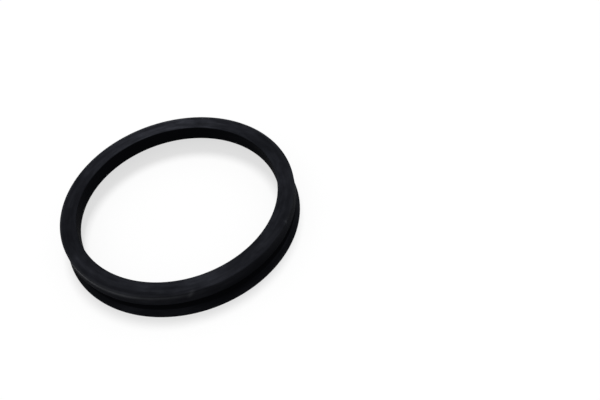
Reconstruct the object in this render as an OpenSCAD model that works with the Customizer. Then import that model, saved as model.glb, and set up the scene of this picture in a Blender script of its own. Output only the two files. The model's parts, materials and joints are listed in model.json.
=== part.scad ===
// V-ring shaft seal, moulded in one piece of black nitrile rubber, in its free state.
// It lies on the edge of its lip with the flat back of the body up. The shaft's axis is Z,
// and z = 0 is the plane in which the lip's edge meets the counterface.

/* [Body] */
// Bore diameter of the free ring, before it is stretched onto its shaft
bore_d = 72; // [60:0.5:90]
// Radial height of the body, from the bore to the outer wall
body_h = 6; // [5:0.1:8]
// Width of the outer wall along the axis, from the back face to the groove
wall_w = 4.6; // [3.6:0.1:5]
// Width of the bore along the axis, from the back face to the root of the lip
bore_w = 5.6; // [4.6:0.1:6.4]

/* [Lip] */
// Free width of the whole ring, from the back face to the edge of the lip
free_w = 11; // [9.5:0.1:13]
// Distance that the edge of the lip stands out past the outer wall
lip_reach = 0.5; // [0:0.1:1.5]
// Thickness of the lip, from its hinge to the start of its taper
lip_t = 1.4; // [1:0.05:1.8]
// Radial length of the taper at the outside of the lip
taper_h = 1.3; // [0.8:0.1:2]
// Thickness of the lip at its edge, which is a full round
edge_t = 0.6; // [0.3:0.05:0.8]

/* [Groove] */
// Radial depth of the V-groove, from the outer wall to its root
groove_h = 3.5; // [2.6:0.1:4]

/* [Roundings] */
// Rounding between the bore and the back face
bore_edge_r = 0.25; // [0.1:0.05:1.5]
// Rounding between the back face and the outer wall
back_edge_r = 0.4; // [0.2:0.05:1.5]
// Rounding between the outer wall and the groove
mouth_r = 0.35; // [0.1:0.05:0.8]
// Rounding at the root of the groove
groove_root_r = 0.3; // [0.1:0.05:0.5]
// Rounding where the lip starts to taper
taper_r = 0.5; // [0.1:0.05:0.6]
// Rounding between the bore and the front of the lip
lip_root_r = 0.4; // [0.1:0.05:0.8]

/* [Hidden] */

// Sides of the ring when it is turned, and the angle of each step of a rounding
$fn = 180;
arc_step = 12;

// Main radii of the section
bore_r = bore_d / 2;
wall_r = bore_r + body_h;
lip_r = wall_r + lip_reach;

// Radius and centre of the lip's round edge, which stands on z = 0
edge_r = edge_t / 2;
edge_centre = [lip_r - edge_r, edge_r];

// Front of the lip: a cone from its root at the bore that touches the round edge from below
lip_root = [bore_r, free_w - bore_w];
front_dir = touch_dir(lip_root, edge_centre, edge_r, -1);

// Back of the lip: one lip thickness behind the front, then a taper that touches the edge from above
lip_rise = lip_t / front_dir[0];
groove_root = lip_back(wall_r - groove_h);
taper_start = lip_back(lip_r - taper_h);
taper_dir = touch_dir(taper_start, edge_centre, edge_r, 1);

// Point past the edge where the front and the taper of the lip would meet
lip_point = crossing(lip_root, front_dir, taper_start, taper_dir);

// Corners of the section before rounding, from the bore outwards and round to the lip's root
corners = [
    [bore_r, free_w],
    [wall_r, free_w],
    [wall_r, free_w - wall_w],
    groove_root,
    taper_start,
    lip_point,
    lip_root,
];
roundings = [bore_edge_r, back_edge_r, mouth_r, groove_root_r, taper_r, edge_r, lip_root_r];

// Vector of length one along v
function unit(v) = v / norm(v);

// Vector v turned by an angle, counter-clockwise
function turned(v, angle) = [v[0] * cos(angle) - v[1] * sin(angle), v[0] * sin(angle) + v[1] * cos(angle)];

// Direction from a point to where it touches a circle, on the circle's upper (1) or lower (-1) side
function touch_dir(point, centre, radius, side) =
    turned(unit(centre - point), side * asin(radius / norm(centre - point)));

// Point where the line from p along u meets the line from q along v
function crossing(p, u, q, v) = p + u * cross(q - p, v) / cross(u, v);

// Point on the back of the lip at a radius
function lip_back(radius) =
    [radius, lip_root[1] + (radius - bore_r) * front_dir[1] / front_dir[0] + lip_rise];

// Corner i, counted round the section, and the directions from it to its two neighbours
function corner(i) = corners[(i + len(corners)) % len(corners)];
function to_last(i) = unit(corner(i - 1) - corner(i));
function to_next(i) = unit(corner(i + 1) - corner(i));

// Half the angle between the sides of corner i, and the turn that the outline makes there
function half_angle(i) = acos(to_last(i) * to_next(i)) / 2;
function turn(i) = sign(cross(to_next(i), to_last(i))) * (180 - 2 * half_angle(i));

// Arc that rounds corner i, from the side before it to the side after it
function rounding(i) =
    let (r = roundings[i])
    let (centre = corner(i) + unit(to_last(i) + to_next(i)) * r / sin(half_angle(i)))
    let (start = corner(i) + to_last(i) * r / tan(half_angle(i)) - centre)
    let (steps = ceil(abs(turn(i)) / arc_step))
    [for (k = [0 : steps]) centre + turned(start, turn(i) * k / steps)];

// Section of the ring: body, V-groove and lip, with every corner rounded
module section() {
    polygon([for (i = [0 : len(corners) - 1]) each rounding(i)]);
}

// The seal: its section turned about the shaft's axis
module v_ring() {
    color([0.12, 0.12, 0.13])
        rotate_extrude() section();
}

v_ring();
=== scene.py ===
import json

import bpy
import numpy as np
from mathutils import Matrix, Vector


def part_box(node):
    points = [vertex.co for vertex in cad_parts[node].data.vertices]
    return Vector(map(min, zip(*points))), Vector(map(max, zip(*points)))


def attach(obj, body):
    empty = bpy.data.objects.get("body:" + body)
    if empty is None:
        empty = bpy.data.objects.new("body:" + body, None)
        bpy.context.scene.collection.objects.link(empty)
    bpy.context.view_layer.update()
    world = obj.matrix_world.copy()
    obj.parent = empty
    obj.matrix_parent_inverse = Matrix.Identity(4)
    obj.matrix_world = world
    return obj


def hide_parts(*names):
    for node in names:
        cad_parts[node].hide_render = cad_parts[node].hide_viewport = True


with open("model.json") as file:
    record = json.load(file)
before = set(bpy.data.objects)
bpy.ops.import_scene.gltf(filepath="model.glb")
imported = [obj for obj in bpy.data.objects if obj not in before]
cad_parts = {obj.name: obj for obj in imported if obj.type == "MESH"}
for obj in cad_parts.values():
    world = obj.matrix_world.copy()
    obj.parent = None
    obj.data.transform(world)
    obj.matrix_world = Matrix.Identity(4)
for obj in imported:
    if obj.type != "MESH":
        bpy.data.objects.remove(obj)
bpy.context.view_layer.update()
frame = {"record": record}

# The seal ring. The real one is a single moulding of black nitrile rubber, pressed in a turned steel mould:
# a body with a flat back, a V-groove open to the outside, and a thin lip that flares down to its edge.
# Nothing is fixed to it, and it lies on the edge of its lip.

# Sizes in millimetres. The bore and the free width come from the solid, and the others are the same as
# its own.
mm_per_m = 1000
bore_mount = next(mount for mount in frame["record"]["mounts"] if mount["name"] == "shaft_bore")
bore_radius = bore_mount["dims"]["r_mm"]
free_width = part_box("v_ring")[1].z * mm_per_m
body_height = 6.0
wall_width = 4.6
bore_width = 5.6
lip_reach = 0.5
lip_thickness = 1.4
taper_length = 1.3
groove_depth = 3.5

# Roundings of the section's corners
bore_edge_rounding = 0.25
back_edge_rounding = 0.4
mouth_rounding = 0.35
groove_root_rounding = 0.3
taper_rounding = 0.5
lip_edge_rounding = 0.3
lip_root_rounding = 0.4

wall_radius = bore_radius + body_height
lip_radius = wall_radius + lip_reach


def unit(vector):
    """Vector of length one in the same direction."""
    return vector / np.linalg.norm(vector)


def turned(vector, angle):
    """Plane vector turned counter-clockwise by an angle in radians."""
    across, up = vector
    cosine, sine = np.cos(angle), np.sin(angle)
    return np.array([across * cosine - up * sine, across * sine + up * cosine])


def touching(point, centre, radius, side):
    """Direction from a point along the line that touches a circle on its upper (1) or lower (-1) side: the
    direction of the centre, turned by the arcsine of the radius over the distance."""
    distance = np.linalg.norm(centre - point)
    return turned(unit(centre - point), side * np.arcsin(radius / distance))


def rounded_outline(corners, radii, arc_step, run_step):
    """Closed outline with its corners rounded. Each arc touches both sides of its corner: its centre lies on
    the bisector, at the radius over the sine of half the angle, and it turns by 180 degrees less the angle.
    Straight runs are cut into equal parts no longer than run_step. Gives the points, and the place of each:
    it goes from half below a corner's number to half above it along the arc, and stays there on the run
    that follows."""
    arcs, places = [], []
    neighbours = zip(corners, np.roll(corners, 1, 0), np.roll(corners, -1, 0), radii)
    for number, (corner, last, following, radius) in enumerate(neighbours):
        to_last, to_next = unit(last - corner), unit(following - corner)
        half_angle = np.arccos(to_last @ to_next) / 2
        sweep = np.pi - 2 * half_angle
        sense = np.sign(to_next[0] * to_last[1] - to_next[1] * to_last[0])
        centre = corner + unit(to_last + to_next) * radius / np.sin(half_angle)
        start = corner + to_last * radius / np.tan(half_angle) - centre
        step_share = np.linspace(0, 1, int(np.ceil(sweep / arc_step)) + 1)
        arcs.append((centre[:, None] + turned(start, sense * sweep * step_share)).T)
        places.append(number - 0.5 + step_share)
    points, place = [], []
    for arc, arc_place, following in zip(arcs, places, arcs[1:] + arcs[:1]):
        run = following[0] - arc[-1]
        parts = int(np.ceil(np.linalg.norm(run) / run_step))
        points += [arc, arc[-1] + run * (np.arange(1, parts) / parts)[:, None]]
        place += [arc_place, np.full(parts - 1, arc_place[-1])]
    return np.concatenate(points), np.concatenate(place)


# Corners of the section before rounding, as radius and height. The front of the lip is a straight line that
# touches the lip's round edge from below, its back lies one thickness behind that, and its taper touches the
# edge from above.
back_corner = np.array([wall_radius, free_width])
wall_foot = np.array([wall_radius, free_width - wall_width])
lip_root = np.array([bore_radius, free_width - bore_width])
edge_centre = np.array([lip_radius - lip_edge_rounding, lip_edge_rounding])
front_line = touching(lip_root, edge_centre, lip_edge_rounding, -1)
lip_slope = np.array([1, front_line[1] / front_line[0]])
lip_back = lip_root + np.array([0, lip_thickness / front_line[0]])
groove_root = lip_back + lip_slope * (body_height - groove_depth)
taper_start = lip_back + lip_slope * (lip_radius - taper_length - bore_radius)
taper_line = touching(taper_start, edge_centre, lip_edge_rounding, 1)
both_lines = np.column_stack([front_line, -taper_line])
lip_point = lip_root + front_line * np.linalg.solve(both_lines, taper_start - lip_root)[0]
corner_roundings = [
    [np.array([bore_radius, free_width]), bore_edge_rounding],
    [back_corner, back_edge_rounding],
    [wall_foot, mouth_rounding],
    [groove_root, groove_root_rounding],
    [taper_start, taper_rounding],
    [lip_point, lip_edge_rounding],
    [lip_root, lip_root_rounding],
]
section, place = rounded_outline(
    np.array([corner for corner, rounding in corner_roundings]),
    np.array([rounding for corner, rounding in corner_roundings]),
    arc_step=np.radians(11),
    run_step=0.6,
)

# The section carried round the axis: rows are angles, columns are points of the section
turns = 840
angle = np.linspace(0, 2 * np.pi, turns, endpoint=False)[:, None]
radius = np.broadcast_to(section[:, 0], (turns, len(section))).copy()
height = np.broadcast_to(section[:, 1], (turns, len(section))).copy()

# Way round the section, from its first point to each of its points and back to the first
run_lengths = np.linalg.norm(np.roll(section, -1, 0) - section, axis=1)
way = np.concatenate([[0], np.cumsum(run_lengths)])


def bell_round(at_angle, half_length):
    """Bell over the angle round the ring: one at an angle in degrees, and 1/e at half_length from it along
    the wall."""
    turn_away = (angle - np.radians(at_angle) + np.pi) % (2 * np.pi) - np.pi
    return np.exp(-(turn_away * wall_radius / half_length) ** 2)


def way_from(at):
    """Way round the section from its point nearest to a radius and height, out along the back and down the
    wall."""
    nearest = np.linalg.norm(section - at, axis=1).argmin()
    return way[:-1] - way[nearest]


def bell_across(at, half_width):
    """Bell over the way round the section: one at the section's point nearest to a radius and height, and
    1/e at half_width from it."""
    return np.exp(-(way_from(at) / half_width) ** 2)


# Nicks across the outer edge of the back: each is a bell along the edge and across it, which takes rubber
# away along the corner's bisector, and slants. Distance below the back, half width across the edge, angle,
# half length along the edge, slant along the edge for each step across it, and depth.
nicks = [
    [0.7, 1.2, -87.0, 0.7, -0.6, 0.3],
    [0.6, 0.7, -29.0, 0.4, 0.0, 0.2],
]
bites = np.zeros_like(radius)
for drop, half_width, at_angle, half_length, slant, depth in nicks:
    at = back_corner - np.array([0, drop])
    slanting = at_angle + np.degrees(slant * way_from(at) / wall_radius)
    bites += depth * bell_round(slanting, half_length) * bell_across(at, half_width)
bisector_part = np.sqrt(0.5)
radius -= bites * bisector_part
height -= bites * bisector_part
vertices = np.stack([radius * np.cos(angle), radius * np.sin(angle), height], axis=2) / mm_per_m

row, column = np.meshgrid(np.arange(turns), np.arange(len(section)), indexing="ij")
next_row, next_column = (row + 1) % turns, (column + 1) % len(section)
corner_rows = np.stack([row, row, next_row, next_row], axis=2)
corner_columns = np.stack([column, next_column, next_column, column], axis=2)
quads = (corner_rows * len(section) + corner_columns).reshape(-1, 4)

ring_mesh = bpy.data.meshes.new("v_ring_rubber")
ring_mesh.from_pydata(vertices.reshape(-1, 3), [], quads)
ring_mesh.polygons.foreach_set("use_smooth", np.ones(len(quads), dtype=bool))

# UV map: once round the ring in U, once round the section in V
share = way / way[-1]
uv = np.stack([
    (row[..., None] + np.array([0, 0, 1, 1])) / turns,
    np.stack([share[column], share[column + 1], share[column + 1], share[column]], axis=2),
], axis=3)
ring_mesh.uv_layers.new(name="round_and_section").data.foreach_set("uv", uv.astype(np.float32).ravel())

# How much haze from handling and dust each face takes, in the order of the section's runs. It also paints
# shade: the bore, the top of the groove, the back of the lip and the front of the lip take little or none,
# so they stay darker.
haze_and_shade_of_faces = {
    "bore": 0.0,
    "back": 0.3,
    "wall": 0.25,
    "top of groove": 0.0,
    "back of lip": 0.04,
    "taper": 0.28,
    "front of lip": 0.1,
}
face_haze_and_shade = list(haze_and_shade_of_faces.values())
haze_and_painted_light = np.interp(place, np.arange(len(face_haze_and_shade) + 1) - 0.5, face_haze_and_shade + face_haze_and_shade[:1])

# Painted highlight: the haze is lighter on two opposite sides of the ring, the near and the far, lightest on
# the far one, and darker on the left and right.
far_side_highlight, near_and_far_highlight = 0.18, 0.25
haze_and_painted_light = haze_and_painted_light * (1 + far_side_highlight * np.sin(angle) - near_and_far_highlight * np.cos(2 * angle))

# Patches with less or more of it: place on the section, half width across, angle, half length and change.
# The band just inside the back's outer edge at the near left, and the wall and the lip's taper at the near
# right, are painted shade; the others make the back and the lip lighter or darker in places.
outside_inset, rim_inset = 1.5, 1.0
back_middle = np.array([(bore_radius + wall_radius) / 2, free_width])
back_outside = back_corner - np.array([outside_inset, 0])
back_rim = back_corner - np.array([rim_inset, 0])
haze_and_shade_patches = [
    # painted shade: the band just inside the back's outer edge
    [back_rim, 0.9, -122, 20, -0.65],
    [back_middle, 4.0, -177, 10, -0.5],
    [back_middle, 4.0, -150, 8, 0.3],
    [back_outside, 2.0, -90, 6, -0.25],
    [back_outside, 2.5, -58, 9, 0.3],
    [back_middle, 4.0, 64, 10, 0.15],
    # painted shade: the wall and the lip's taper at the near right
    [wall_foot, 3.6, -55, 24, -0.9],
    [taper_start, 1.8, -70, 16, -0.9],
    [taper_start, 1.8, -132, 9, -0.5],
]
for at, half_width, at_angle, half_length, change in haze_and_shade_patches:
    haze_and_painted_light = haze_and_painted_light * (1 + change * bell_round(at_angle, half_length) * bell_across(at, half_width))

# Where the moulded edges are rubbed: the lip's edge all round and the nicks. Painted highlights in stretches
# along the outer edge of the back take the same grey. Distance below the back, half width, angle, half
# length and strength of each stretch.
lip_edge_rub, lip_edge_half_width = 0.3, 0.25
rub_per_nick_depth = 2.0
edge_highlights = [
    [1.0, 0.75, -140, 16, 1.0],
    [0.9, 0.7, -114, 12, 0.45],
    [0.8, 0.6, -96, 7, 0.3],
    [0.2, 0.4, -20, 12, 0.12],
    [0.2, 0.5, 62, 26, 0.4],
    [0.2, 0.5, 118, 9, 0.3],
    [0.2, 0.5, 170, 15, 0.4],
]
rubbed_and_highlight = lip_edge_rub * bell_across((lip_radius, 0), lip_edge_half_width) + rub_per_nick_depth * bites
for drop, half_width, at_angle, half_length, strength in edge_highlights:
    line = bell_across(back_corner - np.array([0, drop]), half_width)
    rubbed_and_highlight = rubbed_and_highlight + strength * bell_round(at_angle, half_length) * line
for name, field in (("haze_and_painted_light", haze_and_painted_light), ("rubbed_and_highlight", rubbed_and_highlight)):
    values = field.astype(np.float32).ravel()
    ring_mesh.attributes.new(name, "FLOAT", "POINT").data.foreach_set("value", values)
ring_mesh.update()

ring = bpy.data.objects.new("v_ring_rubber", ring_mesh)
bpy.context.collection.objects.link(ring)


def add_node(tree, kind, inputs=None, **settings):
    """New shader node with its settings, whose inputs are set to values or joined to the outputs of other
    nodes."""
    made = tree.nodes.new(kind)
    for name, value in settings.items():
        setattr(made, name, value)
    for name, value in (inputs or {}).items():
        if isinstance(value, bpy.types.NodeSocket):
            tree.links.new(value, made.inputs[name])
        else:
            made.inputs[name].default_value = value
    return made


def combined(tree, operation, first, second):
    """Two values combined by one operation of arithmetic."""
    return add_node(tree, "ShaderNodeMath", {0: first, 1: second}, operation=operation).outputs["Value"]


def blended(tree, share, first, second, data_type="RGBA"):
    """One colour or value that turns into another: the first times one less the share, plus the second times
    the share."""
    inputs = {"Factor": share, "A": first, "B": second}
    return add_node(tree, "ShaderNodeMix", inputs, data_type=data_type).outputs["Result"]


def noise(tree, position, scale, detail, roughness, shift=(0, 0, 0)):
    """Soft noise about 0.5 over a position, with its own scale along each axis, and moved by a shift."""
    moved = {0: position, 1: scale, 2: shift}
    scaled = add_node(tree, "ShaderNodeVectorMath", moved, operation="MULTIPLY_ADD").outputs["Vector"]
    inputs = {"Vector": scaled, "Scale": 1.0, "Detail": detail, "Roughness": roughness}
    return add_node(tree, "ShaderNodeTexNoise", inputs).outputs["Fac"]


def spread(tree, value, low, high, noise_low=0.3, noise_high=0.7):
    """Noise value from noise_low to noise_high, where most of it lies, spread evenly over low to high, and
    held there outside."""
    ends = {"Value": value, "From Min": noise_low, "From Max": noise_high, "To Min": low, "To Max": high}
    return add_node(tree, "ShaderNodeMapRange", ends).outputs["Result"]


# Black nitrile rubber as it leaves the mould: matt, with a thin bluish haze that lies in clouds, blotches
# and streaks round the ring, and greyer and smoother where rubbed. The haze's share also holds painted
# shade, which keeps the bore and the groove deep black, and a painted highlight on the back. The rubbed grey
# also paints highlights along the back's outer edge.
deep_black = (0.0034, 0.0036, 0.0048, 1)
haze_grey = (0.0360, 0.0380, 0.0470, 1)
rubbed_and_highlight_grey = (0.0900, 0.0930, 0.1030, 1)
rubbed_and_highlight_roughness = 0.4
gloss_level = 0.012
gloss_tint = (0.86, 0.91, 1.0, 1)
relief_height = 0.08 / mm_per_m
relief_strength = 0.35
grain_share = 0.5
rubber = bpy.data.materials.new("nitrile_rubber")
rubber.use_nodes = True
tree = rubber.node_tree
shader = tree.nodes["Principled BSDF"]
shader.inputs["Specular IOR Level"].default_value = gloss_level
shader.inputs["Specular Tint"].default_value = gloss_tint

# Position on the ring: the heading from the axis, and the share of the way round the section
position = add_node(tree, "ShaderNodeTexCoord").outputs["Object"]
flat = {0: position, 1: (1, 1, 0)}
flat_position = add_node(tree, "ShaderNodeVectorMath", flat, operation="MULTIPLY").outputs["Vector"]
heading = add_node(tree, "ShaderNodeVectorMath", {0: flat_position}, operation="NORMALIZE").outputs["Vector"]
heading_parts = add_node(tree, "ShaderNodeSeparateXYZ", {"Vector": heading}).outputs
ring_map = add_node(tree, "ShaderNodeUVMap", uv_map="round_and_section").outputs["UV"]
section_share = add_node(tree, "ShaderNodeSeparateXYZ", {"Vector": ring_map}).outputs["Y"]
ring_position = add_node(tree, "ShaderNodeCombineXYZ", {
    "X": heading_parts["X"], "Y": heading_parts["Y"], "Z": section_share,
}).outputs["Vector"]

clouds = noise(tree, ring_position, scale=(1.8, 1.8, 2), detail=2.0, roughness=0.5, shift=(7.3, 7.7, 2.7))
blotches = noise(tree, ring_position, scale=(6, 6, 13), detail=4.0, roughness=0.6)
streaks = noise(tree, ring_position, scale=(3, 3, 36), detail=3.0, roughness=0.65)
breaks = noise(tree, heading, scale=(2.6, 2.6, 2.6), detail=5.0, roughness=0.7)
grain = noise(tree, position, scale=(2600, 2600, 2600), detail=2.0, roughness=0.6)

haze_with_painted_light = add_node(tree, "ShaderNodeAttribute", attribute_name="haze_and_painted_light").outputs["Fac"]
haze_with_painted_light = combined(tree, "MULTIPLY", haze_with_painted_light, spread(tree, clouds, low=0.6, high=1.4))
haze_with_painted_light = combined(tree, "MULTIPLY", haze_with_painted_light, spread(tree, blotches, low=0.5, high=1.5))
haze_with_painted_light = combined(tree, "MULTIPLY", haze_with_painted_light, spread(tree, streaks, low=0.55, high=1.45))
edges = add_node(tree, "ShaderNodeAttribute", attribute_name="rubbed_and_highlight").outputs["Fac"]
rub_and_highlight = combined(tree, "MULTIPLY", edges, spread(tree, breaks, low=0.4, high=1.1))

colour = blended(tree, rub_and_highlight, blended(tree, haze_with_painted_light, deep_black, haze_grey), rubbed_and_highlight_grey)
moulded_roughness = spread(tree, streaks, low=0.7, high=0.84)
roughness = blended(tree, rub_and_highlight, moulded_roughness, rubbed_and_highlight_roughness, data_type="FLOAT")
relief = combined(tree, "ADD", combined(tree, "MULTIPLY", grain, grain_share), streaks)
raised = {"Height": relief, "Strength": relief_strength, "Distance": relief_height}
bump = add_node(tree, "ShaderNodeBump", raised)
tree.links.new(colour, shader.inputs["Base Color"])
tree.links.new(roughness, shader.inputs["Roughness"])
tree.links.new(bump.outputs["Normal"], shader.inputs["Normal"])
ring_mesh.materials.append(rubber)

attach(ring, "root")
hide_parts("v_ring")

# The floor: a sheet of white paper. The camera and reflections see it as white,
# and it still takes the ring's shadow.
floor_reach = 4.0
floor_mesh = bpy.data.meshes.new("floor")
floor_corners = np.array([[-1, -1, 0], [1, -1, 0], [1, 1, 0], [-1, 1, 0]]) * floor_reach
floor_mesh.from_pydata(floor_corners, [], [[0, 1, 2, 3]])
floor_mesh.update()
floor = bpy.data.objects.new("floor", floor_mesh)
bpy.context.collection.objects.link(floor)


def direct_view(tree):
    """One for camera, glossy and transmission rays, which see the background itself, and zero for others."""
    rays = add_node(tree, "ShaderNodeLightPath").outputs
    seen = combined(tree, "MAXIMUM", rays["Is Camera Ray"], rays["Is Glossy Ray"])
    return combined(tree, "MAXIMUM", seen, rays["Is Transmission Ray"])


# Paper: what it gives back to the ring, and to the eye a part that takes the shadow and an even glow
paper_tone = (0.5, 0.5, 0.5, 1)
shadow_tone = (0.34, 0.34, 0.34, 1)
paper_glow = 0.68
paper = bpy.data.materials.new("white_paper")
paper.use_nodes = True
tree = paper.node_tree
tree.nodes.remove(tree.nodes["Principled BSDF"])
seen = direct_view(tree)
lit = add_node(tree, "ShaderNodeBsdfDiffuse", {"Color": blended(tree, seen, paper_tone, shadow_tone)})
glow = add_node(tree, "ShaderNodeEmission", {"Strength": combined(tree, "MULTIPLY", seen, paper_glow)})
both = add_node(tree, "ShaderNodeAddShader", {0: lit.outputs["BSDF"], 1: glow.outputs["Emission"]})
tree.links.new(both.outputs["Shader"], tree.nodes["Material Output"].inputs["Surface"])
floor_mesh.materials.append(paper)

# The light: a wide soft lamp high behind the ring, and a pale room all round,
# which the camera and reflections see as white.
white = (1, 1, 1, 1)
room_level = 0.35
white_level = 1.0
lamp_level = 2.1
lamp_width = np.radians(24)
lamp_tilt, lamp_turn = np.radians(-19), np.radians(-8)
room = bpy.data.worlds.new("pale_room")
bpy.context.scene.world = room
room.use_nodes = True
tree = room.node_tree
level = blended(tree, direct_view(tree), room_level, white_level, data_type="FLOAT")
background = tree.nodes["Background"]
background.inputs["Color"].default_value = white
tree.links.new(level, background.inputs["Strength"])

lamp_data = bpy.data.lights.new("soft_lamp", "SUN")
lamp_data.energy = lamp_level
lamp_data.angle = lamp_width
lamp = bpy.data.objects.new("soft_lamp", lamp_data)
lamp.rotation_euler = (lamp_tilt, 0, lamp_turn)
bpy.context.collection.objects.link(lamp)

# The camera: its pose was fitted to the ring's own edges in the photograph. The ring's axis leans and turns
# in the picture by these angles, and its back face lies at this place, in radii of the body's outer wall.
photo_width = 600
focal_pixels = 900
lean, turn = np.radians(42.31), np.radians(101.45)
back_centre = np.array([-1.0365, -0.0074, 7.547]) * wall_radius

# The picture's own axes run right, down and ahead, and the camera's run right, up and back.
# Of the part's axes as the picture shows them, Z is the ring's axis, and Y points away along the floor.
axis = np.array([np.sin(lean) * np.cos(turn), -np.sin(lean) * np.sin(turn), -np.cos(lean)])
away = unit(np.array([0, 0, 1]) + axis * np.cos(lean))
seen_axes = np.column_stack([np.cross(away, axis), away, axis])
picture_to_camera = np.diag([1, -1, -1])
camera_data = bpy.data.cameras.new("camera")
camera_data.sensor_width = 36
camera_data.lens = camera_data.sensor_width * focal_pixels / photo_width
camera = bpy.data.objects.new("camera", camera_data)
pose = np.eye(4)
pose[:3, :3] = seen_axes.T @ picture_to_camera
pose[:3, 3] = (np.array([0, 0, free_width]) - seen_axes.T @ back_centre) / mm_per_m
camera.matrix_world = Matrix(pose)
bpy.context.collection.objects.link(camera)
bpy.context.scene.camera = camera
bpy.context.scene.view_settings.view_transform = "Standard"
